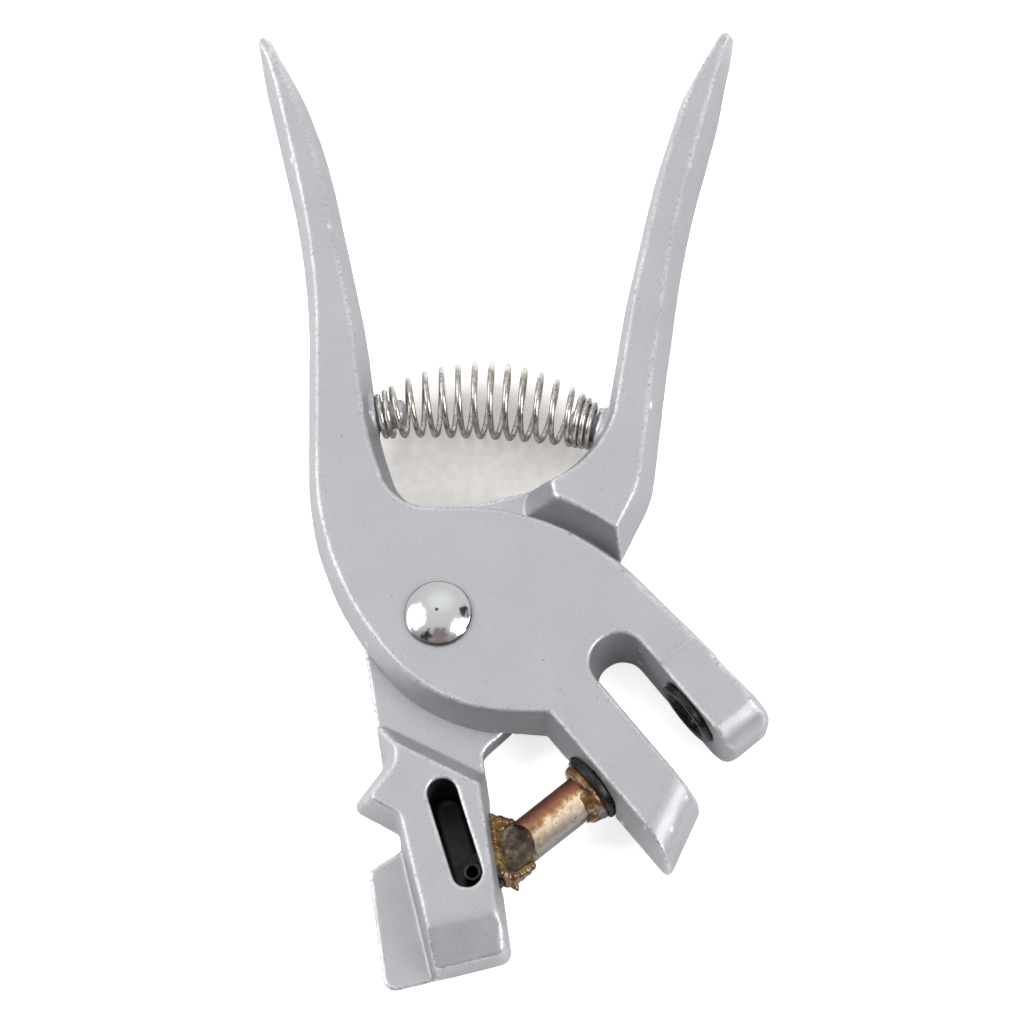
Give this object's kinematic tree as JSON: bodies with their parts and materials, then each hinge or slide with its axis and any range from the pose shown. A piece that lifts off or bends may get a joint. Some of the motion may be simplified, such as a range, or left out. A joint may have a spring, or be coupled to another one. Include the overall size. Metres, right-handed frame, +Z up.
{
  "type": "ear notcher",
  "caption": "Two-handled livestock ear notcher with a drafted cast body, slotted jaw, sliding punch and die, riveted lap joint and barrel spring between the handles",
  "frame": {"origin": "on the pivot axis, in the plane of the tool's back where the rivet's tail lies flush", "axes": "+X to the right, from the front lever's handle towards the rear lever's handle; +Y from the jaw towards the handles; +Z up from the back, towards the rivet's domed head"},
  "size_m": [0.1253, 0.2362, 0.0233],
  "materials": {
    "casting": "satin",
    "polished_steel": "polished",
    "spring_steel": "brushed",
    "punch_steel": "brushed",
    "black_steel": "satin"
  },
  "bodies": {
    "front": {"front_lever": "casting", "pivot_rivet": "polished_steel", "rivet_washer": "polished_steel", "guide_bushing": "black_steel", "die_bushing": "black_steel", "return_spring": "spring_steel"},
    "rear": {"rear_lever": "casting"},
    "punch": {"punch": "punch_steel", "cross_pin": "black_steel"}
  },
  "joints": [
    {"name": "pivot", "type": "hinge", "parent": "front", "child": "rear", "pos_m": [0, 0, 0], "axis": [0, 0, 1], "range_deg": [0, 16], "stiffness_Nm_per_rad": 1.55, "springref_deg": -6.7, "deforming": ["return_spring"]},
    {"name": "punch_slide", "type": "slide", "parent": "front", "child": "punch", "axis": [0.766, 0.6428, 0], "range_m": [0, 0.0141]}
  ],
  "couplings": [
    {"joint": "punch_slide", "follows": "pivot", "m_per_rad": 0.0501}
  ]
}
